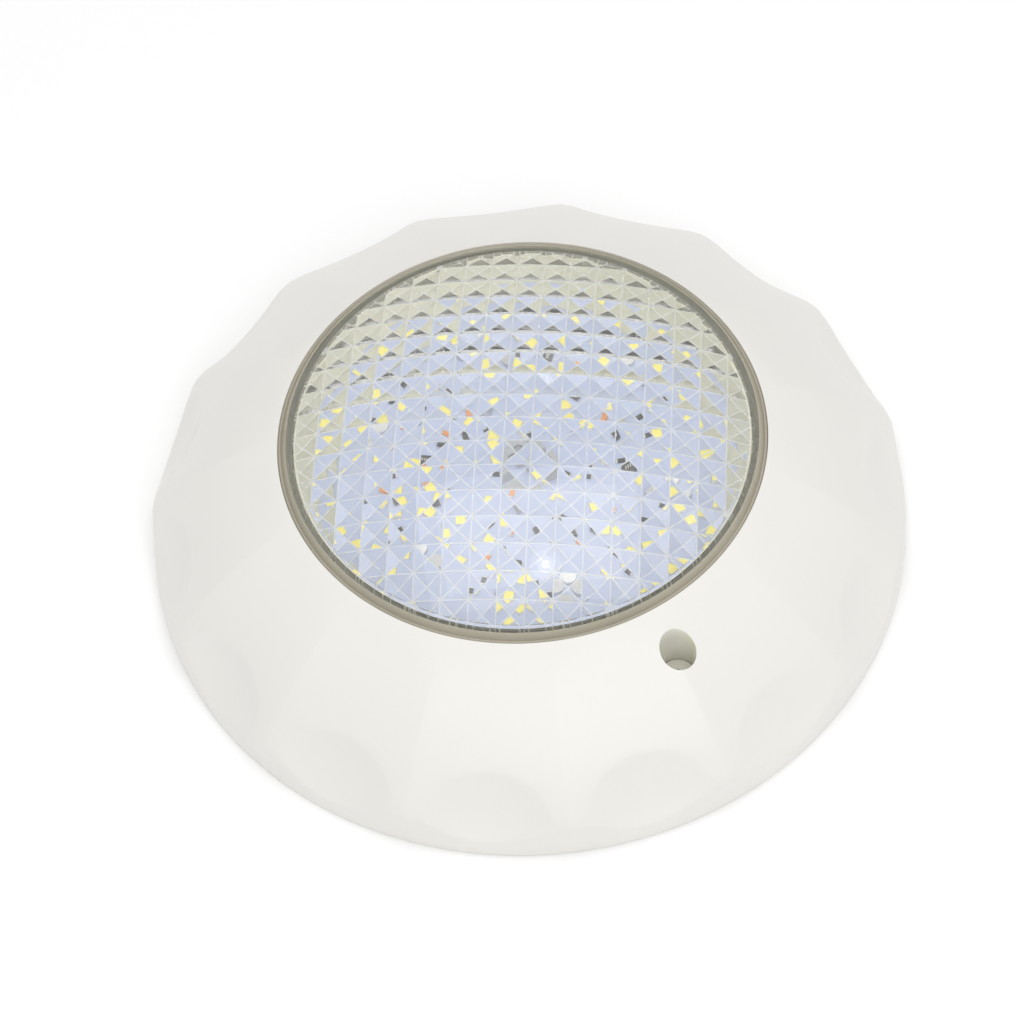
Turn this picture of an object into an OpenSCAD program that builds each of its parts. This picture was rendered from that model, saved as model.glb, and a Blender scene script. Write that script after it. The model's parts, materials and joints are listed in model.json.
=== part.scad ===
// Underwater pool light for a pool wall: a domed plastic face ring round a prism lens, with an LED
// board in a sealed housing behind it. The lamp pushes onto a wall bracket and one screw locks it.
// The wall is the plane z = 0, +Z points out into the water, and the lock screw is at -Y.

/* [Face ring] */
// Outside diameter of the face ring
ring_d = 290; // [280:1:300]
// Diameter of the round opening that the lens shows through
opening_d = 182.2; // [176:0.2:184]
// Height of the opening's front edge above the wall
opening_z = 58.8; // [57:0.1:60]
// Wall thickness of the moulded ring
ring_wall = 3; // [2.5:0.1:3.2]
// Radius of the rounded shoulder at the outer edge
shoulder_r = 10; // [9:0.5:11]
// Height of the centre of that rounding above the wall
shoulder_z = 13.9; // [13:0.1:15]

/* [Scoops] */
// Number of hollow scoops round the shoulder
scoop_count = 15; // [12:1:16]
// Radius of the ball that shapes each scoop
scoop_r = 70; // [65:1:75]
// Distance of that ball's centre from the lamp's axis
scoop_out = 194.4; // [193:0.2:196]
// Height of that ball's centre above the wall
scoop_z = 57.8; // [56:0.2:60]
// Turn of the scoops from their even place round the lock screw, in degrees
scoop_turn = -1.1; // [-4:0.1:4]

/* [Lock screw] */
// Distance of the lock screw from the lamp's axis
lock_out = 106; // [104:1:107]
// Diameter of the recess that the screw head sinks into
recess_d = 13.2; // [13:0.1:14]
// Height of the screw head's top above the wall
head_top = 33.4; // [32:0.2:35]
// Length of the plastic screw head
head_h = 8; // [6:0.5:9]
// Diameter of the screw's steel shank
shank_d = 5; // [4:1:5]

/* [Lens] */
// Height of the top of the lens dome above the wall
lens_top = 77.5; // [76:0.5:79]
// Outside radius of the sphere that the dome is cut from
lens_r = 230; // [225:1:240]
// Diameter of the lens barrel inside the ring opening
barrel_d = 176; // [172:0.2:178]
// Thickness of the lens
lens_t = 3; // [2.5:0.1:3.5]

/* [Light board] */
// Diameter of the LED board
board_d = 160; // [156:1:162]
// Height of the board's front face above the wall
board_top = 34; // [32:0.2:36]
// Thickness of the board
board_t = 1.6; // [1:0.2:2]
// Number of rings of LEDs
led_rings = 6; // [2:1:6]
// Spacing between the rings of LEDs
led_step = 12.4; // [11:0.2:12.6]
// Side of one LED package
led_w = 3.5; // [3.4:0.1:4.4]
// Height of one LED package
led_h = 0.9; // [0.8:0.1:2]
// Diameter of the yellow phosphor window of an LED
phosphor_d = 3; // [2:0.1:3.2]

/* [Housing] */
// Outside diameter of the rear housing
housing_d = 184; // [180:1:186]
// Height of the housing's back above the wall
housing_z = 14; // [13:0.5:15]
// Height of the housing's rim above the wall
rim_z = 44; // [43.5:0.1:44]
// Diameter of the backing ring that the housing's screws pass through
flange_d = 222; // [220:1:224]
// Height of the backing ring's front face above the wall
flange_z = 36; // [34:0.5:37]
// Wall thickness of the housing
housing_wall = 3; // [2.5:0.1:3.5]
// Number of screws that close the housing
case_screw_count = 8; // [6:1:8]

/* [Cable gland] */
// Diameter of the threaded boss that the gland nut screws onto
gland_d = 26; // [24:1:28]
// Diameter of the cable that the gland clamps
cable_d = 8; // [7:0.5:9]

/* [Wall bracket] */
// Diameter of the bracket plate
plate_d = 196; // [186:2:200]
// Thickness of the bracket plate
plate_t = 3.5; // [3:0.5:4]
// Diameter of the round spigot that the lamp pushes onto
spigot_d = 150; // [140:1:152]
// Diameter of the circle of wall screw holes
wall_pcd = 120; // [110:1:124]
// Number of wall screw holes
wall_holes = 4; // [3:1:4]
// Diameter of each wall screw hole
wall_hole_d = 5.2; // [4.2:0.1:6]
// Diameter of the opening in the plate for the cable
cable_way_d = 60; // [50:1:66]

/* [Hidden] */
$fn = 96;
EPS = 0.01;
GAP = 0.3;          // running gap between the lamp and the bracket
SNUG = 0.05;        // gap between pieces that are clamped together
TOP = 120;          // taller than the whole lamp
ARC = 128;          // smoothness of the sphere cuts
ring_r = ring_d / 2;
opening_r = opening_d / 2;

// The shoulder arc meets the big dome arc at the slope shoulder_a, where both have one tangent.
shoulder_a = 50;
shoulder_c = [ring_r - shoulder_r, shoulder_z];
normal = [sin(shoulder_a), cos(shoulder_a)];
meet = shoulder_c + shoulder_r * normal;
chord = [opening_r, opening_z] - meet;
dome_r = (chord * chord) / (-2 * (chord * normal));
dome_c = meet - dome_r * normal;

// Seat of the lens pack behind the opening
pocket_r = 97.5;
pocket_z = 52.5;
seat_r = 101.5;     // outside of the round rib that closes the pocket
rib_foot = flange_z + 0.2;
rim_r = pocket_r - 0.3;
barrel_r = barrel_d / 2;
lens_foot = 48.5;
foot_t = 2.5;       // thickness of the lens foot flange
foot_r = pocket_r - 0.3;
lens_c = lens_top - lens_r;

// Lock screw stack, from the head down
head_d = recess_d - 0.6;
seal_h = 1.4;
recess_floor = head_top - head_h - seal_h;
column_r = recess_d / 2 + 2.4;
column_foot = 21;
shank_foot = 9;
boss_top = column_foot - GAP;
insert_r = 3.5;
insert_h = 10;
shank_clear = 0.05; // radial clearance of the shank in its insert
socket_w = 4;       // across the flats of the hexagon socket in the head
socket_h = 5;

// Housing inside
housing_r = housing_d / 2;
floor_z = housing_z + housing_wall;
flange_t = 3;
groove_z = 40.5;     // O-ring groove round the rim
groove_t = 1.8;
groove_h = 2.6;
ring_t = groove_t + 0.3 - 2 * EPS;
case_screw_r = 106;
case_pilot_r = 1.25;
plate_top = board_top - board_t;
heat_t = 3;
heat_r = 81;
post_r = 4;
post_out = 4.5 * led_step;
post_count = 6;
post_top = plate_top - heat_t;
resin_top = 25;
skirt_r = spigot_d / 2 + GAP;
skirt_wall = 3;
skirt_foot = 4.2;
spigot_top = 12;
spigot_wall = 2.8;

// Cable gland on the back of the housing, and the two leads that run on to the board
gland_r = gland_d / 2;
gland_foot = 7;
neck_r = 10.5;      // part of the gland body that stands in the housing's floor
cable_r = cable_d / 2;
bush_r = 8;
bush_h = 8;
nut_foot = 4.2;
nut_top = 12.5;
lead_r = 1.1;
lead_out = 2.5;

// LEDs on each ring
led_counts = [6, 12, 18, 24, 30, 34];

function turn(i, n) = 360 * i / n;

// Repeats its children at n places round the axis, at radius out, from angle start.
module around(n, out, start = 0) {
    for (i = [0 : n - 1])
        rotate(start + turn(i, n)) translate([out, 0, 0]) children();
}

module tube(r_out, r_in, z0, z1) {
    difference() {
        translate([0, 0, z0]) cylinder(r = r_out, h = z1 - z0);
        translate([0, 0, z0 - 1]) cylinder(r = r_in, h = z1 - z0 + 2);
    }
}

// ---- Face ring ------------------------------------------------------------------------------

// Half section of the dome, moved in by the distance inset along its normals.
module dome_section(inset) {
    translate([0, -1]) square([ring_r - inset, shoulder_z + 1]);
    translate(shoulder_c) circle(r = shoulder_r - inset, $fn = ARC);
    intersection() {
        translate(dome_c) circle(r = dome_r - inset, $fn = 4 * ARC);
        polygon([[0, -1], [shoulder_c[0], -1], shoulder_c, shoulder_c + 40 * normal, [0, TOP]]);
    }
}

module scoops(grow) {
    around(scoop_count, scoop_out, scoop_turn - 90 + turn(0.5, scoop_count))
        translate([0, 0, scoop_z]) sphere(r = scoop_r + grow, $fn = ARC);
}

module dome(inset) {
    difference() {
        rotate_extrude() intersection() {
            dome_section(inset);
            translate([0, -1]) square([ring_r + 1, TOP]);
        }
        scoops(inset);
    }
}

module at_lock() {
    translate([0, -lock_out, 0]) children();
}

module case_screw_places() {
    around(case_screw_count, case_screw_r, turn(0.5, case_screw_count)) children();
}

// The hollow behind the dome, less the ribs and bosses that stand in it
module ring_hollow() {
    difference() {
        dome(ring_wall);
        translate([0, 0, rib_foot]) cylinder(r = seat_r, h = TOP);
        at_lock() translate([0, 0, column_foot]) cylinder(r = column_r, h = TOP);
        case_screw_places() translate([0, 0, flange_z]) cylinder(r = 4, h = TOP);
    }
}

module face_ring() {
    color("ivory") difference() {
        dome(0);
        ring_hollow();
        translate([0, 0, -2]) cylinder(r = ring_r + 5, h = 2);
        translate([0, 0, pocket_z - 1]) cylinder(r = opening_r, h = TOP);
        translate([0, 0, -1]) cylinder(r = pocket_r, h = pocket_z + 1);
        at_lock() translate([0, 0, recess_floor]) cylinder(d = recess_d, h = TOP);
        at_lock() cylinder(d = shank_d + 0.6, h = TOP);
        case_screw_places() translate([0, 0, flange_z - 1]) cylinder(r = case_pilot_r, h = 5);
    }
}

// ---- Lens pack ------------------------------------------------------------------------------

module lens_section() {
    difference() {
        intersection() {
            translate([0, lens_c]) circle(r = lens_r, $fn = 4 * ARC);
            translate([0, lens_foot]) square([barrel_r, TOP]);
        }
        intersection() {
            translate([0, lens_c]) circle(r = lens_r - lens_t, $fn = 4 * ARC);
            square([barrel_r - lens_t, TOP]);
        }
    }
    translate([barrel_r - lens_t, lens_foot]) square([foot_r - barrel_r + lens_t, foot_t]);
}

module lens() {
    color("lightcyan", 0.4) rotate_extrude() lens_section();
}

// A flat washer under the lip, with a bead that fills the gap round the lens barrel and slopes up to
// the edge of the dome
module lens_gasket() {
    washer_z = lens_foot + foot_t + SNUG;
    washer_top = pocket_z - SNUG;
    bead_in = barrel_r + SNUG;
    bead_out = opening_r - SNUG;
    bead_top = opening_z - 0.2;
    color("tan") rotate_extrude() {
        translate([bead_in, washer_z]) square([foot_r - bead_in, washer_top - washer_z]);
        polygon([[bead_in, washer_z], [bead_out, washer_z], [bead_out, bead_top], [bead_in, bead_top + 1.5]]);
    }
}

// Spacer that the housing presses against the lens foot
module lens_clamp_ring() {
    color("gainsboro") tube(foot_r, 90, rim_z + SNUG, lens_foot - SNUG);
}

// White cone from the board up to the lens, which holds the board's edge down
module reflector_ring() {
    z0 = board_top + SNUG;
    z1 = pocket_z + 4;
    inner = board_d / 2 - 1;
    outer = barrel_r - lens_t - 0.4;
    color("whitesmoke") rotate_extrude()
        polygon([[inner, z0], [outer, z0], [outer, z1], [outer - 1.4, z1], [inner, z0 + 1]]);
}

// ---- Light board ----------------------------------------------------------------------------

module led_places() {
    for (k = [1 : led_rings])
        around(led_counts[k - 1], k * led_step, k * 13) rotate(45 * (k % 2)) children();
}

module chip_places() {
    around(3, 2.5 * led_step, 20) children();
    around(6, 3.5 * led_step, 47) children();
}

module resistor_places() {
    around(5, 1.5 * led_step, 8) children();
    around(9, 2.5 * led_step, 0) children();
    around(12, 3.5 * led_step, 2) children();
    around(18, 4.5 * led_step, 3) children();
}

module post_places() {
    around(post_count, post_out, 15) children();
}

module led_board() {
    color("lavender") difference() {
        translate([0, 0, plate_top]) cylinder(d = board_d, h = board_t);
        translate([0, 0, plate_top - 1]) cylinder(r = 4, h = board_t + 2);
        post_places() translate([0, 0, plate_top - 1]) cylinder(r = 1.7, h = board_t + 2);
    }
}

module led_packages() {
    color("white") led_places() translate([-led_w / 2, -led_w / 2, board_top]) cube([led_w, led_w, led_h]);
}

module led_phosphors() {
    color("gold") led_places() translate([0, 0, board_top + led_h]) cylinder(d = phosphor_d, h = 0.15);
}

module driver_chips() {
    color("dimgray") chip_places() translate([-2.5, -2, board_top]) cube([5, 4, 1.5]);
}

module resistors() {
    color("black") resistor_places() translate([-1.6, -0.8, board_top]) cube([3.2, 1.6, 0.6]);
}

// Two-pole block over the board's centre hole
module terminal_block() {
    color("darkgray") difference() {
        translate([-6, -5, board_top]) cube([12, 10, 6]);
        for (x = [-lead_out, lead_out]) translate([x, 0, board_top - 1]) cylinder(r = lead_r + SNUG, h = 5);
        for (x = [-lead_out, lead_out]) translate([x, 0, board_top + 4.5]) cylinder(r = 1.6, h = 3);
    }
}

module supply_leads() {
    lead_z = gland_foot + bush_h + 1;
    color("brown") for (x = [-lead_out, lead_out])
        translate([x, 0, lead_z]) cylinder(r = lead_r, h = board_top + 3.5 - lead_z);
}

module board_screws() {
    color("silver") post_places() {
        translate([0, 0, board_top]) cylinder(r = 2.8, h = 1.8);
        translate([0, 0, board_top - 7]) cylinder(r = 1.4, h = 7 + EPS);
    }
}

module heat_plate() {
    color("silver") difference() {
        translate([0, 0, post_top]) cylinder(r = heat_r, h = heat_t);
        translate([0, 0, post_top - 1]) cylinder(r = 4, h = heat_t + 2);
        post_places() translate([0, 0, post_top - 1]) cylinder(r = 1.7, h = heat_t + 2);
    }
}

// ---- Rear housing ---------------------------------------------------------------------------

// Cup behind the board, with a thick rim that the backing ring pushes forward
module rear_housing() {
    color("white") difference() {
        union() {
            tube(housing_r, housing_r - housing_wall, housing_z, rim_z);
            tube(rim_r, housing_r - 1, flange_z + SNUG, rim_z);
            translate([0, 0, housing_z]) cylinder(r = housing_r - 1, h = housing_wall);
            post_places() translate([0, 0, floor_z - 1]) cylinder(r = post_r, h = post_top - floor_z + 1);
        }
        cylinder(r = neck_r + SNUG, h = TOP);
        post_places() translate([0, 0, board_top - 8]) cylinder(r = 1.4 + SNUG, h = 20);
        tube(rim_r + 1, rim_r - groove_t, groove_z - groove_h / 2, groove_z + groove_h / 2);
    }
}

// Round skirt on the housing's back that fits over the bracket's spigot
module mount_skirt() {
    color("white") tube(skirt_r + skirt_wall, skirt_r, skirt_foot, housing_z - SNUG);
}

// Ring behind the housing's rim that the screws pass through, notched round the lock screw's column
module backing_ring() {
    color("white") difference() {
        tube(flange_d / 2, housing_r + SNUG, flange_z - flange_t, flange_z);
        case_screw_places() cylinder(r = 1.7, h = TOP);
        at_lock() difference() {
            cylinder(r = column_r + 0.5, h = TOP);
            translate([0, lock_out, -1]) cylinder(r = rim_r, h = TOP + 2);
        }
    }
}

// Seals the rim of the housing inside the face ring's round rib
module housing_o_ring() {
    color("black") rotate_extrude() translate([pocket_r - ring_t / 2 - EPS, groove_z]) circle(d = ring_t, $fn = 32);
}

module housing_screws() {
    color("silver") case_screw_places() {
        translate([0, 0, flange_z - flange_t - 2]) cylinder(r = 2.8, h = 2);
        translate([0, 0, flange_z - flange_t - EPS]) cylinder(r = case_pilot_r - SNUG, h = flange_t + 3.6);
    }
}

// Epoxy poured round the posts and the leads
module potting_resin() {
    color("darkslategray") difference() {
        translate([0, 0, floor_z + EPS]) cylinder(r = housing_r - housing_wall - SNUG, h = resin_top - floor_z);
        for (x = [-lead_out, lead_out]) translate([x, 0, 0]) cylinder(r = lead_r + SNUG, h = TOP);
        post_places() cylinder(r = post_r + SNUG, h = TOP);
    }
}

// ---- Cable gland ----------------------------------------------------------------------------

module hexagon(flats, z0, z1) {
    translate([0, 0, z0]) cylinder(d = flats / cos(30), h = z1 - z0, $fn = 6);
}

// Threaded boss that stands in the housing's floor and holds the bush
module gland_body() {
    foot = gland_foot + SNUG;
    color("gray") difference() {
        union() {
            translate([0, 0, foot]) cylinder(r = gland_r, h = housing_z - SNUG - foot);
            translate([0, 0, foot]) cylinder(r = neck_r, h = floor_z - foot);
        }
        translate([0, 0, foot - 1]) cylinder(r = bush_r, h = bush_h + 1 + SNUG);
        cylinder(r = cable_r, h = TOP);
    }
}

module gland_bush() {
    color("black") tube(bush_r - SNUG, cable_r - 0.2, gland_foot + SNUG, gland_foot + SNUG + bush_h);
}

module gland_cap_nut() {
    color("dimgray") difference() {
        hexagon(gland_d + 4, nut_foot, nut_top);
        translate([0, 0, gland_foot]) cylinder(r = gland_r + SNUG, h = TOP);
        cylinder(r = bush_r - 2, h = TOP);
    }
}

// ---- Lock screw -----------------------------------------------------------------------------

module lock_screw_seal() {
    color("black") at_lock() rotate_extrude()
        translate([shank_d / 2 + 1.3, recess_floor + seal_h / 2]) circle(r = seal_h / 2 - 0.02, $fn = 32);
}

module lock_screw_head() {
    z0 = recess_floor + seal_h;
    color("ivory") at_lock() difference() {
        translate([0, 0, z0]) cylinder(d = head_d, h = head_h);
        hexagon(socket_w, head_top - socket_h, head_top + 1);
        translate([0, 0, z0 - 1]) cylinder(d = shank_d, h = 3);
    }
}

module lock_screw_shank() {
    color("silver") at_lock() translate([0, 0, shank_foot])
        cylinder(d = shank_d, h = recess_floor + seal_h + 2 - shank_foot);
}

// ---- Wall bracket ---------------------------------------------------------------------------

module wall_bracket() {
    color("white") difference() {
        union() {
            cylinder(d = plate_d, h = plate_t);
            at_lock() cylinder(r = 12, h = plate_t);
            translate([-12, -lock_out, 0]) cube([24, lock_out - 80, plate_t]);
            at_lock() cylinder(r = 8, h = boss_top);
            tube(spigot_d / 2, spigot_d / 2 - spigot_wall, plate_t - 1, spigot_top);
        }
        translate([0, 0, -1]) cylinder(d = cable_way_d, h = plate_t + 2);
        around(wall_holes, wall_pcd / 2, 45) {
            translate([0, 0, -1]) cylinder(d = wall_hole_d, h = plate_t + 2);
            translate([0, 0, plate_t - 1.5]) cylinder(d = 2 * wall_hole_d, h = 2);
        }
        at_lock() translate([0, 0, boss_top - insert_h]) cylinder(r = insert_r + SNUG, h = TOP);
        at_lock() translate([0, 0, shank_foot - 2]) cylinder(d = shank_d + 1, h = TOP);
    }
}

module lock_insert() {
    color("goldenrod") at_lock()
        tube(insert_r, shank_d / 2 + shank_clear, boss_top - insert_h, boss_top);
}

face_ring();
lens();
lens_gasket();
lens_clamp_ring();
reflector_ring();
led_board();
led_packages();
led_phosphors();
driver_chips();
resistors();
terminal_block();
board_screws();
heat_plate();
rear_housing();
mount_skirt();
backing_ring();
housing_o_ring();
housing_screws();
potting_resin();
gland_body();
gland_bush();
gland_cap_nut();
supply_leads();
lock_screw_seal();
lock_screw_head();
lock_screw_shank();
wall_bracket();
lock_insert();
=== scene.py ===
"""Underwater pool light, shown lying on its back: looks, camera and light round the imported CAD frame."""
import json
import math

import bmesh
import bpy
import numpy as np
from mathutils import Matrix, Vector
from mathutils.kdtree import KDTree


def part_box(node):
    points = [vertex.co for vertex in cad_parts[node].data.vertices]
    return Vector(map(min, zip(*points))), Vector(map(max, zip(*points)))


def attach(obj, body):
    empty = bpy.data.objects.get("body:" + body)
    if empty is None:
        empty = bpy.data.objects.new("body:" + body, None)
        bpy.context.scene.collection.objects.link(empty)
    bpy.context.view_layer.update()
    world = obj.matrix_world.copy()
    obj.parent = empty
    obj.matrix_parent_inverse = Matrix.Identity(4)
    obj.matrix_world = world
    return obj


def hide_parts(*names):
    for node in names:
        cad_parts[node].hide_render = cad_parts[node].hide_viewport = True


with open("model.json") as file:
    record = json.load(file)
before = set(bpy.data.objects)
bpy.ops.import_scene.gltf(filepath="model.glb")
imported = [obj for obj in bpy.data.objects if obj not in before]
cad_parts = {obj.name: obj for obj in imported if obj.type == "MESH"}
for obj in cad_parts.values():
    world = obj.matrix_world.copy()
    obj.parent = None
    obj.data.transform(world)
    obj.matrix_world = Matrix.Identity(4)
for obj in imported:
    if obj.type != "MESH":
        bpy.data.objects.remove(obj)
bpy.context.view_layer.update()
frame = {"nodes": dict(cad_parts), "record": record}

MM = 0.001
TAU = 2 * math.pi

# ---- Sizes in millimetres, as in part.scad -----------------------------------------------------


def node_box(name):
    """A node's lowest and highest corners in millimetres."""
    low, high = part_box(name)
    return np.array(low) / MM, np.array(high) / MM


_, ring_high = node_box("face_ring")
lens_low, lens_high = node_box("lens")
_, board_high = node_box("led_board")
head_low, _ = node_box("lock_screw_head")

RING_R = ring_high[0]
OPENING_R = 91.1        # round hole for the lens
OPENING_Z = ring_high[2]
WALL = 3.0
SHOULDER_R = 10.0       # arc between the dome and the upright wall
SHOULDER_Z = 13.9
SHOULDER_A = math.radians(50)
SCOOPS = 15             # hollows round the shoulder, each cut by a ball
SCOOP_R = 70.0
SCOOP_OUT = 194.4       # how far the balls' centres are from the axis, and how high
SCOOP_Z = 57.8
SCOOP_TURN = math.radians(-1.1)
PANEL = 0.75            # how flat the panel between two ridges is, from 0 to 1
EDGE = 0.5              # softness of the scoops' edges
CREASE = 0.007          # softness of the ridges between the panels
LOCK_OUT = 106.0        # how far the lock screw is from the axis
RECESS_R = 6.6
RECESS_FLOOR = head_low[2] - 1.4
COLUMN_R = 9.0          # column round the lock screw
COLUMN_FOOT = 21.0
SHANK_HOLE_R = 2.8
CASE_SCREWS = 8
CASE_SCREW_OUT = 106.0
CASE_BOSS_R = 4.0
CASE_BOSS_FOOT = 36.0
POCKET_R = 97.5         # pocket that holds the foot of the lens
POCKET_Z = 52.5
SEAT_R = 101.5          # outside of the round rib that closes the pocket
RIB_FOOT = 36.2
RIB_TOP = 50.5

# Dome arc: it leaves the shoulder arc at the slope SHOULDER_A and ends at the opening's edge
NORMAL = np.array([math.sin(SHOULDER_A), math.cos(SHOULDER_A)])
SHOULDER_C = np.array([RING_R - SHOULDER_R, SHOULDER_Z])
MEET = SHOULDER_C + SHOULDER_R * NORMAL
CHORD = np.array([OPENING_R, OPENING_Z]) - MEET
DOME_R = CHORD @ CHORD / (-2 * (CHORD @ NORMAL))
DOME_C = MEET - DOME_R * NORMAL

LENS_R = 230.0          # the lens's ball
LENS_C = lens_high[2] - LENS_R
LENS_T = 3.0
BARREL_R = 88.0         # upright wall below the lens's edge, and the foot that clamps it
LENS_FOOT = lens_low[2]
FOOT_T = 2.5
FOOT_R = lens_high[0]
SEAL_Z = 51.1           # underside of the seal, on the foot of the lens
PRISM = 10.04           # pitch of the square prisms
PRISM_H = 1.3           # height of a prism
PRISM_EDGE = 0.24       # half width of the rough lines between the prism faces
PRISM_OUT = 83.6        # the prisms stop here, at a plain band next to the barrel
PRISM_TURN = math.radians(-34.3)
PRISM_SHIFT = (5.14, 5.3)
BOARD_TOP = board_high[2]
LED_STEP = 12.4         # step between the rings of packages, and how many each ring has
LED_COUNTS = (6, 12, 18, 24, 30, 34)

# ---- Mesh helpers ------------------------------------------------------------------------------


def make_object(name, mesh):
    ob = bpy.data.objects.new(name, mesh)
    bpy.context.scene.collection.objects.link(ob)
    return ob


def from_arrays(name, points, faces, smooth=True):
    """An object from points in millimetres and faces."""
    mesh = bpy.data.meshes.new(name)
    mesh.from_pydata((np.asarray(points) * MM).tolist(), [], [tuple(map(int, f)) for f in faces])
    mesh.validate()
    mesh.polygons.foreach_set("use_smooth", [smooth] * len(mesh.polygons))
    return make_object(name, mesh)


def from_bmesh(name, bm, smooth=True):
    mesh = bpy.data.meshes.new(name)
    bm.to_mesh(mesh)
    bm.free()
    mesh.polygons.foreach_set("use_smooth", [smooth] * len(mesh.polygons))
    return make_object(name, mesh)


def grid_faces(rows, cols, close_cols=True, close_rows=False):
    """Quads over a grid of points stored row by row."""
    faces = []
    last_col = cols if close_cols else cols - 1
    last_row = rows if close_rows else rows - 1
    for i in range(last_row):
        for j in range(last_col):
            a, b = i * cols + j, i * cols + (j + 1) % cols
            c, d = ((i + 1) % rows) * cols + (j + 1) % cols, ((i + 1) % rows) * cols + j
            faces.append((a, b, c, d))
    return faces


def lathe(name, profile, segments=256, closed=True, centre=(0, 0), smooth_angle=35):
    """A turned piece from a profile of (radius, height) points in millimetres."""
    profile = np.asarray(profile, float)
    turn = np.linspace(0, TAU, segments, endpoint=False)
    r, z = profile[:, 0][:, None], profile[:, 1][:, None]
    x = centre[0] + r * np.cos(turn)
    y = centre[1] + r * np.sin(turn)
    points = np.stack([x, y, np.broadcast_to(z, x.shape)], -1).reshape(-1, 3)
    faces = grid_faces(len(profile), segments, close_rows=closed)
    ob = from_arrays(name, points, faces)
    bm = bmesh.new()
    bm.from_mesh(ob.data)
    bmesh.ops.remove_doubles(bm, verts=bm.verts, dist=1e-7)
    bmesh.ops.recalc_face_normals(bm, faces=bm.faces)
    bm.to_mesh(ob.data)
    bm.free()
    ob.data.set_sharp_from_angle(angle=math.radians(smooth_angle))
    return ob


def arc(centre, radius, start, end, steps):
    """Points on an arc, with angles in degrees."""
    turn = np.radians(np.linspace(start, end, steps))
    return [(centre[0] + radius * math.cos(t), centre[1] + radius * math.sin(t)) for t in turn]


def apply_modifier(ob, kind, **settings):
    mod = ob.modifiers.new(kind.lower(), kind)
    for key, value in settings.items():
        setattr(mod, key, value)
    graph = bpy.context.evaluated_depsgraph_get()
    mesh = bpy.data.meshes.new_from_object(ob.evaluated_get(graph), depsgraph=graph)
    old = ob.data
    ob.modifiers.clear()
    ob.data = mesh
    mesh.name = ob.name
    bpy.data.meshes.remove(old)
    return ob


def combine(ob, tool, operation):
    """Adds or cuts the tool, which is then removed."""
    apply_modifier(ob, "BOOLEAN", operation=operation, object=tool, solver="MANIFOLD")
    bpy.data.objects.remove(tool)
    return ob


def rod(radius, low, high, at=(0, 0), segments=64):
    return lathe("rod", [(0, low), (radius, low), (radius, high), (0, high)], segments, False, at)


# ---- Face ring ---------------------------------------------------------------------------------


def smooth_step(a, b, x):
    t = np.clip((x - a) / (b - a), 0, 1)
    return t * t * (3 - 2 * t)


def dome_profile(rows_top, rows_low):
    """Radius, height and outward normal angle down the uncut dome, from the opening to the wall."""
    start = math.asin((OPENING_R - DOME_C[0]) / DOME_R)
    mid = math.asin((121 - DOME_C[0]) / DOME_R)
    top = np.linspace(start, mid, rows_top, endpoint=False)
    low = np.linspace(mid, SHOULDER_A, rows_low, endpoint=False)
    big = np.concatenate([top, low])
    small = np.linspace(SHOULDER_A, math.pi / 2, rows_low // 3)
    r = np.concatenate([DOME_C[0] + DOME_R * np.sin(big), SHOULDER_C[0] + SHOULDER_R * np.sin(small)])
    z = np.concatenate([DOME_C[1] + DOME_R * np.cos(big), SHOULDER_C[1] + SHOULDER_R * np.cos(small)])
    tilt = np.concatenate([big, small])
    wall_z = np.linspace(SHOULDER_Z, 0.6, rows_low // 4)[1:]
    r = np.concatenate([r, np.full(len(wall_z), RING_R)])
    z = np.concatenate([z, wall_z])
    tilt = np.concatenate([tilt, np.full(len(wall_z), math.pi / 2)])
    return r, z, tilt


def dome_surface(turn, r, z, tilt, inset=0.0):
    """Points on the dome moved in by inset, for arrays of angle and profile values."""
    panel = TAU / SCOOPS
    off = (turn - SCOOP_TURN + math.pi / 2) % panel - panel / 2
    weight = PANEL * smooth_step(89, 106, r) * smooth_step(6, 20, z)
    crease = 0.5 * (np.sqrt((np.abs(off) - panel / 2) ** 2 + CREASE ** 2) - CREASE)
    flat = np.cos(panel / 2) / np.cos(panel / 2 - 2 * crease)
    r_in = r * (1 - weight * (1 - flat)) - inset * np.sin(tilt)
    z_in = z - inset * np.cos(tilt)
    nr, nz = np.sin(tilt), np.cos(tilt)
    # Scoop: how far inward along the normal the ball's surface lies
    px, py, pz = r_in * np.cos(off) - SCOOP_OUT, r_in * np.sin(off), z_in - SCOOP_Z
    nx, ny = nr * np.cos(off), nr * np.sin(off)
    b = px * nx + py * ny + pz * nz
    square = b * b + (SCOOP_R + inset) ** 2 - (px * px + py * py + pz * pz)
    depth = np.where(square > 0, b + np.sqrt(np.maximum(square, 0)), -20.0)
    cut = 0.5 * (depth + np.sqrt(depth * depth + EDGE * EDGE)) - EDGE * EDGE / 80
    cut = np.clip(cut, 0, None)
    r_cut, z_cut = r_in - cut * nr, z_in - cut * nz
    return np.stack([r_cut * np.cos(turn), r_cut * np.sin(turn), z_cut], -1)


def skin(cols, rows_top, rows_low, inset=0.0):
    r, z, tilt = dome_profile(rows_top, rows_low)
    turn = np.linspace(0, TAU, cols, endpoint=False) - math.pi / 2 + SCOOP_TURN
    shape = (len(r), cols)
    grids = [np.broadcast_to(v[:, None], shape) for v in (r, z, tilt)]
    turns = np.broadcast_to(turn, shape)
    points = dome_surface(turns, *grids, inset)
    return points, turns, grids


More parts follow.
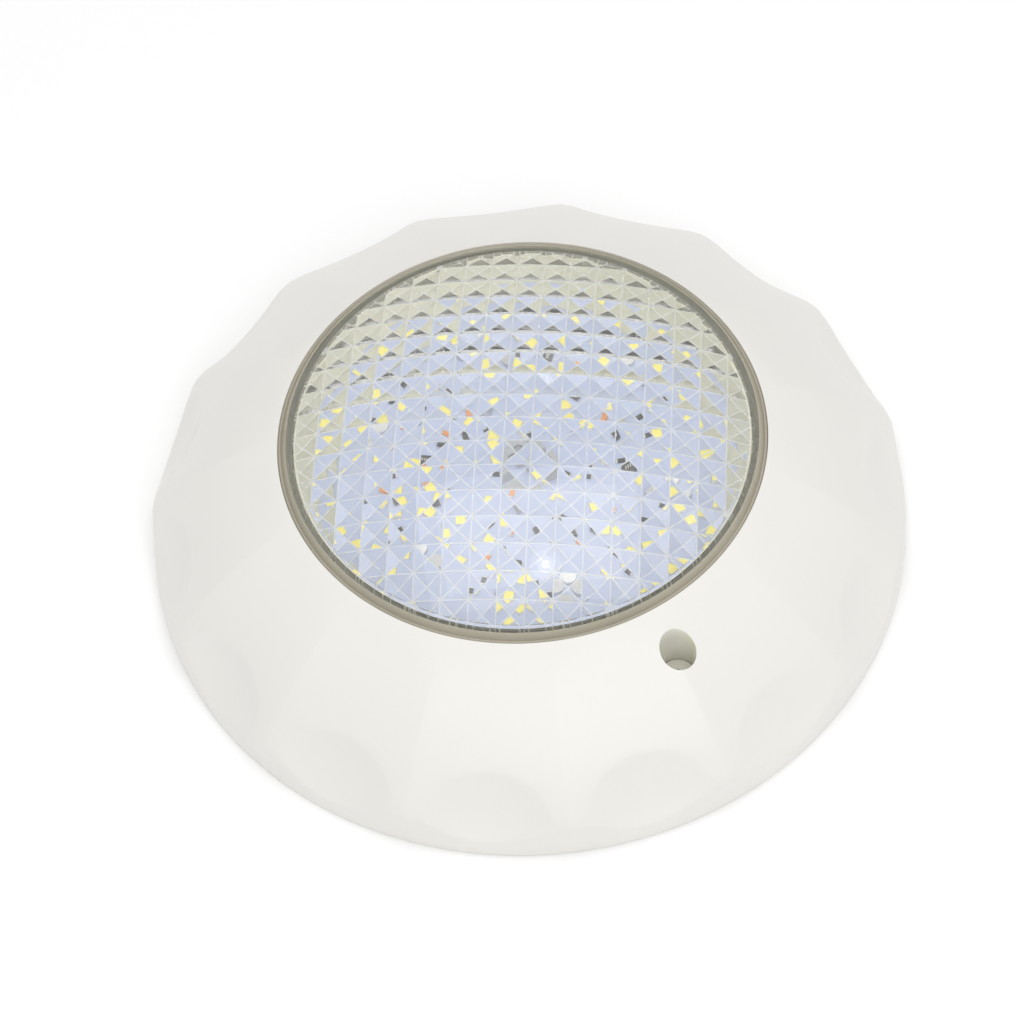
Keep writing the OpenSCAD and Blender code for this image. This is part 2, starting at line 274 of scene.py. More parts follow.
def skin_normals(turns, grids):
    """Normals of the outer skin from differences along the angle and the profile."""
    r, z, tilt = grids
    step = 0.0012
    across = dome_surface(turns + step, r, z, tilt) - dome_surface(turns - step, r, z, tilt)
    length = 0.15
    dr, dz = length * np.cos(tilt), -length * np.sin(tilt)
    bend = length / np.where(tilt < SHOULDER_A, DOME_R, SHOULDER_R)
    bend = np.where(tilt >= math.pi / 2 - 1e-6, 0, bend)
    after = dome_surface(turns, r + dr, z + dz, tilt + bend)
    before = dome_surface(turns, r - dr, z - dz, tilt - bend)
    n = np.cross(after - before, across)
    return n / np.linalg.norm(n, axis=-1, keepdims=True)


def make_face_ring():
    """Shell of the dome with its opening, rib, bosses and screw recess."""
    cols = SCOOPS * 60
    outer, turns, grids = skin(cols, 12, 60)
    normals = skin_normals(turns, grids)
    inner, _, _ = skin(cols, 8, 24, WALL)
    turn = turns[0]

    def circle(r, z):
        return np.stack([r * np.cos(turn), r * np.sin(turn), np.full(cols, z)], -1)[None]

    rows = [
        circle(OPENING_R, POCKET_Z),
        circle(OPENING_R, OPENING_Z - 0.5),
        circle(OPENING_R + 0.12, OPENING_Z - 0.18),
        outer[1:],
        circle(RING_R - 0.1, 0.25),
        circle(RING_R - 0.6, 0.0),
        circle(RING_R - WALL, 0.0),
        inner[:0:-1],
        circle(SEAT_R - 2, POCKET_Z - 4),
    ]
    points = np.concatenate([row.reshape(-1, 3) for row in rows])
    count = len(points) // cols
    ring = from_arrays("face_ring_skin", points, grid_faces(count, cols, close_rows=True))
    fix_normals(ring)
    rib_in = POCKET_R - 8
    rib = lathe("rib", [(rib_in, RIB_FOOT), (SEAT_R, RIB_FOOT), (SEAT_R, RIB_TOP), (rib_in, RIB_TOP)], 240)
    combine(ring, rib, "UNION")
    bosses = [rod(COLUMN_R, COLUMN_FOOT, 44, (0, -LOCK_OUT), 96)]
    for i in range(CASE_SCREWS):
        a = TAU * (i + 0.5) / CASE_SCREWS
        spot = (CASE_SCREW_OUT * math.cos(a), CASE_SCREW_OUT * math.sin(a))
        bosses.append(rod(CASE_BOSS_R, CASE_BOSS_FOOT, 44, spot, 32))
    flat = outer.reshape(-1, 3)
    for boss in bosses:
        end_in_wall(boss, flat)
        combine(ring, boss, "UNION")
    pocket = lathe("pocket", [(60, 30), (POCKET_R, 30), (POCKET_R, POCKET_Z), (60, POCKET_Z)], 480)
    combine(ring, pocket, "DIFFERENCE")
    combine(ring, rod(RECESS_R, RECESS_FLOOR, 70, (0, -LOCK_OUT), 96), "DIFFERENCE")
    combine(ring, rod(SHANK_HOLE_R, 10, 30, (0, -LOCK_OUT), 32), "DIFFERENCE")
    mark_bore(ring)
    set_skin_normals(ring, outer.reshape(-1, 3), normals.reshape(-1, 3))
    ring.name = "face_ring_shell"
    return ring


def end_in_wall(boss, skin_points):
    """Ends a boss in the middle of the wall above it."""
    for v in boss.data.vertices:
        if v.co.z > 40 * MM:
            across = np.hypot(skin_points[:, 0] - v.co.x / MM, skin_points[:, 1] - v.co.y / MM)
            v.co.z = (skin_points[across.argmin(), 2] - WALL / 2) * MM


def mark_bore(ob):
    """Puts the wall and floor of the screw recess in the second material, which is more see-through and also
    painted lighter and greener than the white ABS: painted light that lifts the shade in the recess.
    """
    for face in ob.data.polygons:
        c = face.center / MM
        if math.hypot(c.x, c.y + LOCK_OUT) < RECESS_R + 0.05 and c.z > RECESS_FLOOR - 0.1:
            face.material_index = 1


def fix_normals(ob):
    bm = bmesh.new()
    bm.from_mesh(ob.data)
    bmesh.ops.recalc_face_normals(bm, faces=bm.faces)
    bm.to_mesh(ob.data)
    bm.free()


def set_skin_normals(ob, points, normals):
    """Gives the outer skin its exact normals, so that ridges and scoop edges shade cleanly."""
    tree = KDTree(len(points))
    for i, p in enumerate(points):
        tree.insert(p, i)
    tree.balance()
    mesh = ob.data
    co = np.empty(len(mesh.vertices) * 3)
    mesh.vertices.foreach_get("co", co)
    co = co.reshape(-1, 3) / MM
    nearest = np.zeros(len(co), int)
    far = np.zeros(len(co))
    for i, p in enumerate(co):
        _, nearest[i], far[i] = tree.find(p)
    face_normals = np.empty(len(mesh.polygons) * 3)
    mesh.polygons.foreach_get("normal", face_normals)
    face_normals = face_normals.reshape(-1, 3)
    loop_vertex = np.empty(len(mesh.loops), int)
    mesh.loops.foreach_get("vertex_index", loop_vertex)
    totals = np.empty(len(mesh.polygons), int)
    mesh.polygons.foreach_get("loop_total", totals)
    loop_face = np.repeat(np.arange(len(mesh.polygons)), totals)
    wanted = normals[nearest[loop_vertex]]
    own = face_normals[loop_face]
    agree = (wanted * own).sum(1) > 0.6
    close = far[loop_vertex] < 3.2
    on_skin = agree & close
    values = np.where(on_skin[:, None], wanted, own)
    mesh.polygons.foreach_set("use_smooth", [True] * len(mesh.polygons))
    corner = np.empty(len(mesh.loops) * 3)
    mesh.corner_normals.foreach_get("vector", corner)
    corner = corner.reshape(-1, 3)
    soft = ~on_skin & ((corner * own).sum(1) > 0.85)
    values[soft] = corner[soft]
    index = np.zeros(len(mesh.polygons), int)
    mesh.polygons.foreach_get("material_index", index)
    bore = (index[loop_face] == 1) & (np.abs(own[:, 2]) < 0.3)
    radial = co[loop_vertex[bore]] - np.array([0, -LOCK_OUT, 0])
    radial[:, 2] = 0
    values[bore] = -radial / np.linalg.norm(radial, axis=1, keepdims=True)
    mesh.normals_split_custom_set(values.tolist())


# ---- Lens --------------------------------------------------------------------------------------


def lens_height(x, y, drop=0.0):
    return LENS_C + np.sqrt((LENS_R - drop) ** 2 - x * x - y * y)


def clip_polygon(poly, cuts):
    """Cuts a convex polygon of (x, y, z) points by the half planes n . p <= d."""
    for nx, ny, d in cuts:
        out = []
        for i, p in enumerate(poly):
            q = poly[(i + 1) % len(poly)]
            a = nx * p[0] + ny * p[1] - d
            b = nx * q[0] + ny * q[1] - d
            if a <= 0:
                out.append(p)
            if (a < 0 < b) or (b < 0 < a):
                t = a / (a - b)
                out.append(tuple(p[k] + t * (q[k] - p[k]) for k in range(3)))
        poly = out
        if len(poly) < 3:
            return []
    return poly


def inset_triangle(points, width):
    """The triangle that is left inside a border of the given width."""
    pts = [np.array(p) for p in points]
    sides = [np.linalg.norm(pts[(n + 1) % 3] - pts[(n + 2) % 3]) for n in range(3)]
    area = 0.5 * np.linalg.norm(np.cross(pts[1] - pts[0], pts[2] - pts[0]))
    centre = sum(side * p for side, p in zip(sides, pts)) / sum(sides)
    keep = 1 - width * sum(sides) / (2 * area)
    return [tuple(centre + (p - centre) * keep) for p in pts]


def make_lens():
    """Smooth dome outside, square prisms inside, with the barrel and foot that clamp it."""
    inner_r = BARREL_R - LENS_T
    sides = 180
    step = TAU / sides
    flat_r = PRISM_OUT * math.cos(step / 2)
    cuts = [(math.cos(k * step), math.sin(k * step), flat_r) for k in range(sides)]
    c, s = math.cos(PRISM_TURN), math.sin(PRISM_TURN)
    bm = bmesh.new()
    cells = int(inner_r // PRISM) + 2

    def place(u, v, deep):
        x, y = u * c - v * s, u * s + v * c
        r = math.hypot(x, y)
        x2, y2 = (x, y) if r < 150 else (x * 150 / r, y * 150 / r)
        return (x, y, float(lens_height(x2, y2, LENS_T)) - deep)

    def add_face(poly, index):
        if min(math.hypot(p[0], p[1]) for p in poly) > PRISM_OUT:
            return
        if max(math.hypot(p[0], p[1]) for p in poly) > flat_r:
            reach = [cut for cut in cuts if any(cut[0] * p[0] + cut[1] * p[1] > cut[2] for p in poly)]
            poly = clip_polygon(poly, reach)
        if len(poly) >= 3:
            face = bm.faces.new([bm.verts.new(Vector(p) * MM) for p in poly])
            face.material_index = index

    for i in range(-cells, cells + 1):
        for j in range(-cells, cells + 1):
            u0, v0 = i * PRISM + PRISM_SHIFT[0], j * PRISM + PRISM_SHIFT[1]
            steps = ((0, 0), (1, 0), (1, 1), (0, 1))
            corners = [place(u0 + du * PRISM, v0 + dv * PRISM, 0) for du, dv in steps]
            tip = place(u0 + PRISM / 2, v0 + PRISM / 2, PRISM_H)
            for k in range(4):
                poly = [corners[k], corners[(k + 1) % 4], tip]
                small = inset_triangle(poly, PRISM_EDGE)
                add_face(small, 0)
                for n in range(3):
                    m = (n + 1) % 3
                    add_face([poly[n], poly[m], small[m], small[n]], 1)
    bmesh.ops.remove_doubles(bm, verts=bm.verts, dist=2e-6)
    bmesh.ops.dissolve_degenerate(bm, edges=bm.edges, dist=1e-6)
    for face in bm.faces:
        face.normal_update()
        if face.normal.z > 0:
            face.normal_flip()
    band_z = float(lens_height(PRISM_OUT, 0, LENS_T))
    for radius, height in ((PRISM_OUT, band_z), (inner_r, band_z - 0.4), (inner_r, LENS_FOOT)):
        rim = [e for e in bm.edges if len(e.link_faces) == 1]
        grown = bmesh.ops.extrude_edge_only(bm, edges=rim)["geom"]
        for v in grown:
            if isinstance(v, bmesh.types.BMVert):
                v.co.xy = v.co.xy.normalized() * radius * MM
                v.co.z = height * MM
    for face in bm.faces:
        if abs(face.normal.z) < 0.5 and face.calc_center_median().xy.dot(face.normal.xy) > 0:
            face.normal_flip()
    prisms = from_bmesh("prisms", bm, smooth=False)
    edge_z = float(lens_height(BARREL_R - 0.4, 0))
    profile = [(inner_r, LENS_FOOT), (FOOT_R, LENS_FOOT), (FOOT_R, LENS_FOOT + FOOT_T)]
    profile += [(BARREL_R, LENS_FOOT + FOOT_T), (BARREL_R, edge_z - 0.5), (BARREL_R - 0.12, edge_z - 0.15)]
    for r in np.linspace(BARREL_R - 0.4, 0.0, 60):
        profile.append((r, float(lens_height(r, 0))))
    shell = lathe("lens_shell", profile, 360, closed=False, smooth_angle=30)
    flip = bmesh.new()
    flip.from_mesh(shell.data)
    top = max(flip.faces, key=lambda f: f.calc_center_median().z)
    if top.normal.z < 0:
        bmesh.ops.reverse_faces(flip, faces=flip.faces)
    flip.to_mesh(shell.data)
    flip.free()
    for face in shell.data.polygons:
        face.use_smooth = True
    bm = bmesh.new()
    bm.from_mesh(shell.data)
    for face in bm.faces:
        c = face.calc_center_median() / MM
        if c.xy.length > BARREL_R - 0.05 and c.z < edge_z - 1:
            face.material_index = 2
    smooth_count = len(bm.faces)
    bm.from_mesh(prisms.data)
    bm.faces.ensure_lookup_table()
    for i, face in enumerate(bm.faces):
        face.smooth = i < smooth_count or face.calc_center_median().xy.length > PRISM_OUT * MM
    bpy.data.objects.remove(shell)
    bpy.data.objects.remove(prisms)
    mesh = bpy.data.meshes.new("prism_lens")
    bm.to_mesh(mesh)
    bm.free()
    mesh.set_sharp_from_angle(angle=math.radians(25))
    return make_object("prism_lens", mesh)


# ---- Seal, reflector and light board -----------------------------------------------------------


def make_gasket():
    """Lip seal: a rounded outer bead, a groove and a slope up to a thin lip on the lens's edge."""
    top = POCKET_Z - 0.05
    profile = [(BARREL_R + 0.1, SEAL_Z), (FOOT_R, SEAL_Z), (FOOT_R, top), (OPENING_R - 0.1, top)]
    profile += [(OPENING_R - 0.1, 58.0)]
    profile += arc((OPENING_R - 0.75, 57.95), 0.6, 0, 140, 8)
    profile += [(89.75, 58.2), (89.6, 58.35), (89.3, 58.9), (88.6, 59.85)]
    profile += arc((88.0, 60.3), 0.22, 80, 200, 6)
    profile += [(87.85, 60.15), (BARREL_R + 0.1, 59.9), (BARREL_R + 0.1, 59.0)]
    return lathe("lip_seal", profile, 300)


def make_reflector():
    """Cone from the board up to the lens, with a thin flat rim."""
    top = POCKET_Z + 4
    foot = BOARD_TOP + 0.05
    outer = BARREL_R - LENS_T - 0.4
    profile = [(79.0, foot), (outer, foot), (outer, top - 0.3), (outer - 0.2, top), (outer - 0.7, top)]
    profile += [(outer - 0.9, top - 0.3), (outer - 1.6, top - 6), (79.5, foot + 2.4), (79.1, foot + 1.0)]
    return lathe("reflector_cone", profile, 300)


def square_loop(half_x, half_y, corner, z, steps=4):
    """Points of a rounded rectangle at height z."""
    points = []
    for k, (sx, sy) in enumerate(((1, 1), (-1, 1), (-1, -1), (1, -1))):
        for n in range(steps + 1):
            t = math.pi / 2 * (k + n / steps)
            x = sx * (half_x - corner) + corner * math.cos(t)
            y = sy * (half_y - corner) + corner * math.sin(t)
            points.append((x, y, z))
    return points


def add_stack(bm, spot, loops, index=0, at=(0.0, 0.0)):
    """Adds a solid made of stacked loops at a spot (x, y, z, angle), moved by at in its own axes."""
    x0, y0, z0, angle = spot
    c, s = math.cos(angle), math.sin(angle)
    rings = []
    for points in loops:
        ring = []
        for x, y, z in points:
            x, y = x + at[0], y + at[1]
            ring.append(bm.verts.new((Vector((x0 + x * c - y * s, y0 + x * s + y * c, z0 + z)) * MM)))
        rings.append(ring)
    faces = [bm.faces.new(rings[0][::-1]), bm.faces.new(rings[-1])]
    for low, high in zip(rings, rings[1:]):
        for n in range(len(low)):
            m = (n + 1) % len(low)
            faces.append(bm.faces.new((low[n], low[m], high[m], high[n])))
    for face in faces:
        face.material_index = index


def around(count, radius, start, turn=0.0):
    """Spots on a circle, in degrees as in part.scad."""
    spots = []
    for i in range(count):
        a = math.radians(start + 360 * i / count)
        spots.append((radius * math.cos(a), radius * math.sin(a), BOARD_TOP, a + math.radians(turn)))
    return spots


def led_spots():
    spots = []
    for k, count in enumerate(LED_COUNTS, 1):
        spots += around(count, k * LED_STEP, k * 13, 45 * (k % 2))
    return spots


def finish_stack(name, bm, angle=40):
    ob = from_bmesh(name, bm)
    ob.data.set_sharp_from_angle(angle=math.radians(angle))
    return ob


def make_led_bodies():
    """White packages, each with a shallow well for the gel."""
    bm = bmesh.new()
    loops = [square_loop(1.75, 1.75, 0.25, 0), square_loop(1.75, 1.75, 0.25, 0.78)]
    loops += [square_loop(1.69, 1.69, 0.25, 0.9), square_loop(1.62, 1.62, 0.4, 0.9)]
    loops += [square_loop(1.58, 1.58, 0.4, 0.72)]
    for spot in led_spots():
        add_stack(bm, spot, loops)
    return finish_stack("led_bodies", bm)


def make_led_gels():
    """Yellow gel that fills each package's well and bulges a little."""
    bm = bmesh.new()
    loops = [square_loop(1.56, 1.56, 0.4, 0.74), square_loop(1.58, 1.58, 0.4, 0.9)]
    loops += [square_loop(1.3, 1.3, 0.36, 0.99), square_loop(0.7, 0.7, 0.2, 1.04)]
    for spot in led_spots():
        add_stack(bm, spot, loops)
    return finish_stack("led_gels", bm)


def make_chips():
    """Driver chips with bent legs and a printed mark on each."""
    bm = bmesh.new()
    body = [square_loop(2.0, 1.6, 0.1, 0.15, 1), square_loop(2.1, 1.7, 0.1, 0.8, 1)]
    body += [square_loop(1.95, 1.55, 0.1, 1.4, 1)]
    foot = [square_loop(0.2, 0.3, 0.05, 0.0, 1), square_loop(0.2, 0.3, 0.05, 0.16, 1)]
    shin = [square_loop(0.2, 0.1, 0.05, 0.0, 1), square_loop(0.2, 0.1, 0.05, 0.85, 1)]
    mark = [square_loop(0.14, 0.5, 0.04, 1.4, 1), square_loop(0.14, 0.5, 0.04, 1.44, 1)]
    for spot in around(3, 2.5 * LED_STEP, 20) + around(6, 3.5 * LED_STEP, 47):
        add_stack(bm, spot, body)
        for x in (-1.5, -0.5, 0.5, 1.5):
            for side in (-1, 1):
                add_stack(bm, spot, foot, 1, (x, side * 1.7))
                add_stack(bm, spot, shin, 1, (x, side * 1.78))
        for x in (-1.1, -0.4, 0.3, 1.1):
            add_stack(bm, spot, mark, 2, (x, 0.1 * math.sin(9 * x)))
    return finish_stack("driver_chip_set", bm)


def make_resistors():
    """Chip resistors with metal end caps; every third one is an orange capacitor."""
    bm = bmesh.new()
    spots = around(5, 1.5 * LED_STEP, 8) + around(9, 2.5 * LED_STEP, 0)
    spots += around(12, 3.5 * LED_STEP, 2) + around(18, 4.5 * LED_STEP, 3)
    body = [square_loop(1.15, 0.75, 0.06, 0.0, 1), square_loop(1.15, 0.75, 0.06, 0.5, 1)]
    body += [square_loop(1.1, 0.7, 0.06, 0.56, 1)]
    cap = [square_loop(0.25, 0.8, 0.06, 0.0, 1), square_loop(0.25, 0.8, 0.06, 0.54, 1)]
    cap += [square_loop(0.2, 0.74, 0.06, 0.6, 1)]
    for n, spot in enumerate(spots):
        add_stack(bm, spot, body, 2 if n % 3 == 0 else 0)
        for side in (-1, 1):
            add_stack(bm, spot, cap, 1, (side * 1.35, 0))
    return finish_stack("chip_resistors", bm)


# ---- Materials ---------------------------------------------------------------------------------


def material(name):
    mat = bpy.data.materials.new(name)
    mat.use_nodes = True
    mat.node_tree.nodes.clear()
    return mat


class Tree:
    """Short names for adding shader nodes."""

    def __init__(self, mat):
        self.nodes, self.links = mat.node_tree.nodes, mat.node_tree.links

    def add(self, kind, **values):
        node = self.nodes.new(kind)
        for key, value in values.items():
            if key in node.inputs:
                node.inputs[key].default_value = value
            else:
                setattr(node, key, value)
        return node

    def link(self, a, b):
        self.links.new(a, b)

    def noise(self, scale, detail=4.0, rough=0.55):
        coords = self.add("ShaderNodeTexCoord")
        node = self.add("ShaderNodeTexNoise", Scale=scale, Detail=detail, Roughness=rough)
        self.link(coords.outputs["Object"], node.inputs["Vector"])
        return node.outputs["Fac"]

    def ramp(self, fac, stops):
        node = self.add("ShaderNodeValToRGB")
        ramp = node.color_ramp
        while len(ramp.elements) < len(stops):
            ramp.elements.new(0.5)
        for element, (place, colour) in zip(ramp.elements, stops):
            element.position = place
            element.color = (*colour, 1)
        self.link(fac, node.inputs["Fac"])
        return node.outputs["Color"]

    def spread(self, fac, low, high):
        node = self.add("ShaderNodeMapRange")
        node.inputs["From Min"].default_value = 0.25
        node.inputs["From Max"].default_value = 0.75
        node.inputs["To Min"].default_value = low
        node.inputs["To Max"].default_value = high
        self.link(fac, node.inputs["Value"])
        return node.outputs["Result"]

    def bump(self, fac, strength, distance):
        node = self.add("ShaderNodeBump", Strength=strength, Distance=distance)
        self.link(fac, node.inputs["Height"])
        return node.outputs["Normal"]


def plastic(name, light, dark, rough=(0.25, 0.34), bump=0.08, grain=900.0, sss=0.0, depth=0.003, spec=0.5):
    """Moulded plastic: faint colour drift, uneven gloss and a fine mould texture."""
    mat = material(name)
    t = Tree(mat)
    shader = t.add("ShaderNodeBsdfPrincipled")
    t.link(t.ramp(t.noise(14.0), [(0.3, dark), (0.7, light)]), shader.inputs["Base Color"])
    t.link(t.spread(t.noise(60.0, 6.0), *rough), shader.inputs["Roughness"])
    if bump:
        t.link(t.bump(t.noise(grain, 3.0), bump, 0.0002), shader.inputs["Normal"])
    shader.inputs["Specular IOR Level"].default_value = spec
    if sss:
        shader.inputs["Subsurface Weight"].default_value = sss
        shader.inputs["Subsurface Radius"].default_value = (0.9, 1.0, 0.7)
        shader.inputs["Subsurface Scale"].default_value = depth
    out = t.add("ShaderNodeOutputMaterial")
    t.link(shader.outputs[0], out.inputs["Surface"])
    return mat


def metal(name, light, dark, rough=(0.22, 0.4), grain=160.0):
    mat = material(name)
    t = Tree(mat)
    shader = t.add("ShaderNodeBsdfPrincipled", Metallic=1.0)
    t.link(t.ramp(t.noise(40.0), [(0.3, dark), (0.7, light)]), shader.inputs["Base Color"])
    t.link(t.spread(t.noise(grain, 6.0), *rough), shader.inputs["Roughness"])
    t.link(t.bump(t.noise(grain * 6, 2.0), 0.1, 0.0001), shader.inputs["Normal"])
    out = t.add("ShaderNodeOutputMaterial")
    t.link(shader.outputs[0], out.inputs["Surface"])
    return mat


def clear_lens(name, rough, haze, tint):
    """Clear polycarbonate that lets the lamps through to light what is behind it, with a little haze."""
    mat = material(name)
    t = Tree(mat)
    glass = t.add("ShaderNodeBsdfPrincipled", IOR=1.58)
    glass.inputs["Transmission Weight"].default_value = 1.0
    t.link(t.ramp(t.noise(20.0), [(0.3, (0.975, 0.98, 0.975)), (0.7, (1, 1, 1))]), glass.inputs["Base Color"])
    t.link(t.spread(t.noise(90.0, 5.0), *rough), glass.inputs["Roughness"])
    milk = t.add("ShaderNodeBsdfTranslucent")
    chalk = t.add("ShaderNodeBsdfDiffuse")
    pale = tuple(min(1, 1.06 * c) for c in tint)
    for node in (milk, chalk):
        t.link(t.ramp(t.noise(120.0), [(0.3, tint), (0.7, pale)]), node.inputs["Color"])
    cloudy = t.add("ShaderNodeMixShader", Fac=0.5)
    t.link(milk.outputs[0], cloudy.inputs[1])
    t.link(chalk.outputs[0], cloudy.inputs[2])
    body = t.add("ShaderNodeMixShader")
    t.link(t.spread(t.noise(70.0, 3.0), *haze), body.inputs["Fac"])
    t.link(glass.outputs[0], body.inputs[1])
    t.link(cloudy.outputs[0], body.inputs[2])
    clear = t.add("ShaderNodeBsdfTransparent", Color=(0.95, 0.96, 0.95, 1))
    path = t.add("ShaderNodeLightPath")
    mix = t.add("ShaderNodeMixShader")
    t.link(path.outputs["Is Shadow Ray"], mix.inputs["Fac"])
    t.link(body.outputs[0], mix.inputs[1])
    t.link(clear.outputs[0], mix.inputs[2])
    out = t.add("ShaderNodeOutputMaterial")
    t.link(mix.outputs[0], out.inputs["Surface"])
    return mat


WHITE = plastic("white_abs", (0.84, 0.822, 0.785), (0.832, 0.814, 0.777), rough=(0.28, 0.31), bump=0.0)
# Lighter, greener copy of the white ABS for the screw recess: painted light that lifts the shade in the
# recess, on top of its real subsurface glow.
BORE_PAINTED_LIGHT = plastic("white_abs_bore_painted_light", (0.90, 0.90, 0.78), (0.88, 0.88, 0.75), bump=0.0, sss=0.7, depth=0.006)
SATIN = plastic("satin_abs", (0.78, 0.77, 0.72), (0.72, 0.71, 0.66), rough=(0.4, 0.55))
INNER = plastic("inner_abs", (0.86, 0.83, 0.66), (0.80, 0.77, 0.60), rough=(0.35, 0.5), bump=0.0)
LENS = clear_lens("clear_polycarbonate", (0.0, 0.02), (0.02, 0.05), (0.85, 0.86, 0.82))
LENS_EDGE = clear_lens("polycarbonate_edges", (0.2, 0.3), (0.45, 0.6), (0.9, 0.9, 0.87))
LENS_RIM = clear_lens("polycarbonate_rim", (0.1, 0.2), (0.75, 0.85), (0.93, 0.92, 0.83))
SEAL = plastic("gasket_silicone", (0.43, 0.395, 0.32), (0.36, 0.335, 0.265), rough=(0.3, 0.45), sss=0.4)
RUBBER = plastic("black_rubber", (0.03, 0.03, 0.03), (0.02, 0.02, 0.02), rough=(0.5, 0.7))
BOARD = plastic(
    "board_enamel", (0.53, 0.58, 0.775), (0.48, 0.535, 0.73), rough=(0.25, 0.4), bump=0.02, grain=300.0
)
CERAMIC = plastic("led_ceramic", (0.86, 0.85, 0.78), (0.80, 0.79, 0.72), rough=(0.35, 0.5))
PHOSPHOR = plastic("phosphor", (1.0, 0.90, 0.25), (0.98, 0.84, 0.20), rough=(0.3, 0.45), bump=0.02)
ORANGE = plastic("capacitor_orange", (0.85, 0.35, 0.12), (0.75, 0.28, 0.09), rough=(0.35, 0.5), bump=0.02)
EPOXY = plastic("black_epoxy", (0.05, 0.05, 0.055), (0.03, 0.03, 0.035), rough=(0.35, 0.55))
GREY = plastic("terminal_grey", (0.46, 0.47, 0.50), (0.40, 0.41, 0.44), rough=(0.4, 0.55))
RESIN = plastic("potting_epoxy", (0.06, 0.06, 0.065), (0.04, 0.04, 0.045), rough=(0.15, 0.3))
NYLON = plastic("gland_nylon", (0.10, 0.10, 0.11), (0.07, 0.07, 0.08), rough=(0.4, 0.55))
LEAD = plastic("lead_insulation", (0.25, 0.11, 0.05), (0.2, 0.08, 0.04), rough=(0.4, 0.5))
STEEL = metal("stainless", (0.72, 0.72, 0.71), (0.6, 0.6, 0.6))
PLATE = metal("heat_aluminium", (0.82, 0.82, 0.83), (0.7, 0.7, 0.72))
BRASS = metal("brass_insert", (0.8, 0.62, 0.3), (0.68, 0.5, 0.22))

SLOTS = {
    "white_abs": WHITE, "clear_polycarbonate": LENS, "gasket_silicone": SEAL, "inner_abs": INNER,
    "board_enamel": BOARD, "led_ceramic": CERAMIC, "phosphor": PHOSPHOR, "black_epoxy": EPOXY,
    "terminal_grey": GREY, "stainless": STEEL, "heat_aluminium": PLATE, "black_rubber": RUBBER,
    "potting_epoxy": RESIN, "gland_nylon": NYLON, "lead_insulation": LEAD, "bracket_abs": SATIN,
    "brass_insert": BRASS,
}


def dress(piece, slot, *more):
    """Gives a piece its material, looked up by its slot, followed by any more materials."""
    index = [face.material_index for face in piece.data.polygons]
    piece.data.materials.clear()
    for mat in (SLOTS[slot], *more):
        piece.data.materials.append(mat)
    piece.data.polygons.foreach_set("material_index", [i if more else 0 for i in index])


def dress_cad_nodes():
    slots = {part["node"]: part["material_slot"] for part in frame["record"]["subparts"]}
    for name, ob in frame["nodes"].items():
        for i in range(max(1, len(ob.material_slots))):
            if i < len(ob.material_slots):
                ob.material_slots[i].material = SLOTS[slots[name]]


# ---- Scene -------------------------------------------------------------------------------------


def add_camera():
    """Main view: a long lens, high above the object, rolled a little."""
    azimuth, elevation = math.radians(-116.803), math.radians(56.068)
    roll = math.radians(-5.303)
    distance = 1.05465
    aim = Vector((-12.625, -11.031, 30.0)) * MM
    back = Vector((
        math.cos(elevation) * math.cos(azimuth),
        math.cos(elevation) * math.sin(azimuth),
        math.sin(elevation),
    ))
    right = Vector((-math.sin(azimuth), math.cos(azimuth), 0))
    up = back.cross(right)
    tilted = right * math.cos(roll) + up * math.sin(roll)
    top = back.cross(tilted)
    data = bpy.data.cameras.new("camera")
    data.lens = 98.44
    data.clip_start = 0.01
    cam = bpy.data.objects.new("camera", data)
    cam.matrix_world = Matrix((tilted, top, back)).transposed().to_4x4()
    cam.matrix_world.translation = aim + back * distance
    bpy.context.scene.collection.objects.link(cam)
    bpy.context.scene.camera = cam


def add_area(name, place, target, size, power, shape="RECTANGLE"):
    data = bpy.data.lights.new(name, "AREA")
    data.shape = shape
    data.size, data.size_y = size
    data.energy = power
    ob = bpy.data.objects.new(name, data)
    ob.location = place
    ob.rotation_euler = (Vector(place) - Vector(target)).to_track_quat("Z", "Y").to_euler()
    bpy.context.scene.collection.objects.link(ob)


def add_floor():
    """Plain white floor."""
    bm = bmesh.new()
    bmesh.ops.create_grid(bm, x_segments=8, y_segments=8, size=6)
    floor = from_bmesh("floor", bm)
    floor.location.z = -0.0002
    light, dark = (0.99, 0.99, 0.99), (0.985, 0.985, 0.985)
    mat = plastic("floor_white", light, dark, rough=(0.6, 0.7), bump=0.0, spec=0.1)
    floor.data.materials.append(mat)


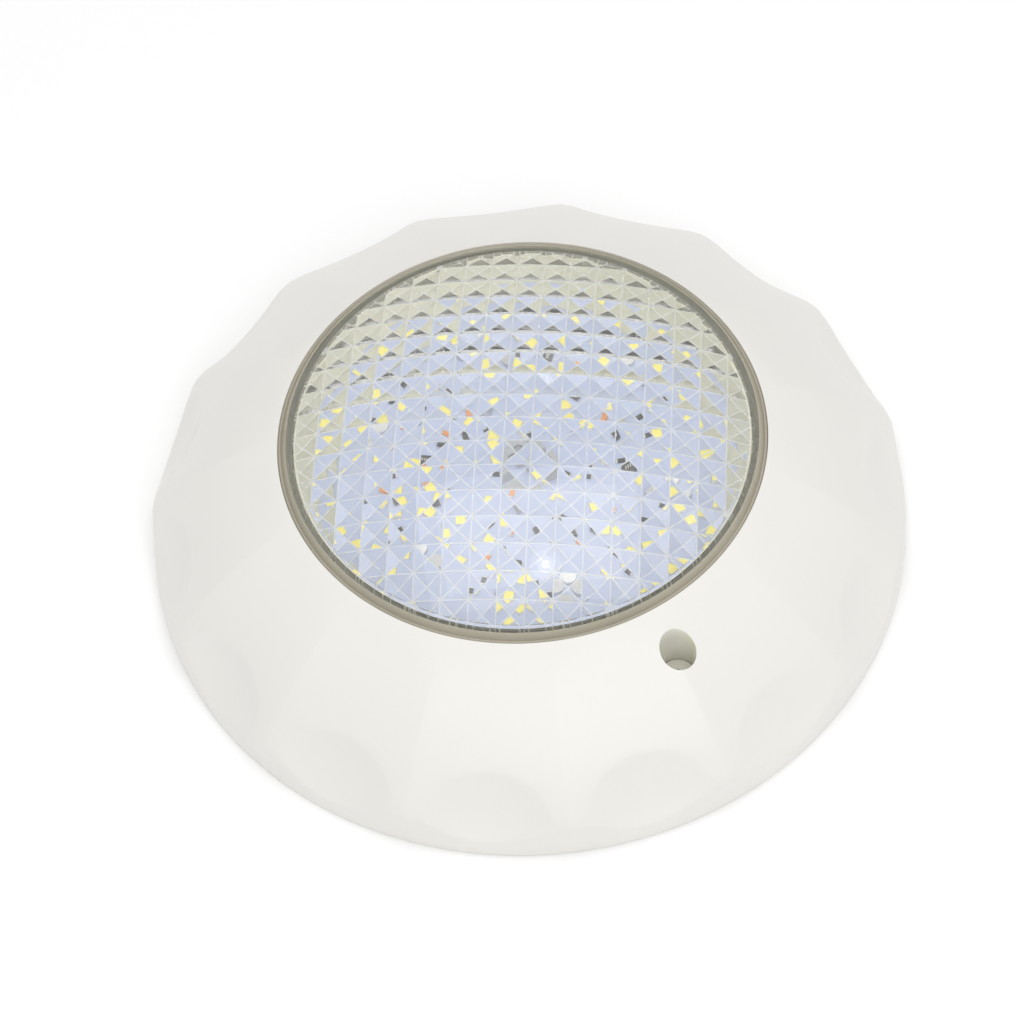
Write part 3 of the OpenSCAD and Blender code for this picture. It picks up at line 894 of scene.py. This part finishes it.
def add_world():
    """Even studio light, dimmer towards the horizon."""
    world = bpy.data.worlds.new("world")
    world.use_nodes = True
    nodes, links = world.node_tree.nodes, world.node_tree.links
    shader = nodes["Background"]
    coords = nodes.new("ShaderNodeTexCoord")
    split = nodes.new("ShaderNodeSeparateXYZ")
    links.new(coords.outputs["Generated"], split.inputs[0])
    spread = nodes.new("ShaderNodeMapRange")
    spread.inputs["From Min"].default_value = 0.0
    spread.inputs["From Max"].default_value = 1.0
    spread.inputs["To Min"].default_value = 0.38
    spread.inputs["To Max"].default_value = 0.92
    links.new(split.outputs["Z"], spread.inputs["Value"])
    links.new(spread.outputs["Result"], shader.inputs["Strength"])
    shader.inputs["Color"].default_value = (0.985, 0.985, 0.985, 1)
    bpy.context.scene.world = world


add_camera()
add_world()
add_floor()
add_area("overhead", (0.06, 0.12, 1.68), (0, 0, 0.03), (1.3, 0.87), 3.6)
add_area("overhead_middle", (0.06, 0.12, 1.67), (0, 0, 0.03), (1.05, 0.62), 2.0)
for name, size, power in (("glow", 0.18, 0.1), ("glow_middle", 0.1, 0.05), ("glow_core", 0.05, 0.025)):
    place = (0.036, -0.089, 1.65 + 0.05 * size)
    add_area(name, place, (0, 0, 0.03), (size, size), power, "DISK")
add_area("front", (-0.348, -1.297, 1.343), (0, 0, 0.03), (1.6, 1.2), 8.2)
bpy.context.scene.view_settings.view_transform = "Standard"

dress_cad_nodes()

face_ring = make_face_ring()
# The screw recess gets the second material, painted lighter than the ring to lift the shade in the recess.
dress(face_ring, "white_abs", BORE_PAINTED_LIGHT)
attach(face_ring, "lamp")
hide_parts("face_ring")

lens = make_lens()
dress(lens, "clear_polycarbonate", LENS_EDGE, LENS_RIM)
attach(lens, "lamp")
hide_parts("lens")

for maker, slot, node, more in (
    (make_gasket, "gasket_silicone", "lens_gasket", ()),
    (make_reflector, "inner_abs", "reflector_ring", ()),
    (make_led_bodies, "led_ceramic", "led_packages", ()),
    (make_led_gels, "phosphor", "led_phosphors", ()),
    (make_chips, "black_epoxy", "driver_chips", (STEEL, SATIN)),
    (make_resistors, "black_epoxy", "resistors", (STEEL, ORANGE)),
):
    piece = maker()
    dress(piece, slot, *more)
    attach(piece, "lamp")
    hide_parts(node)
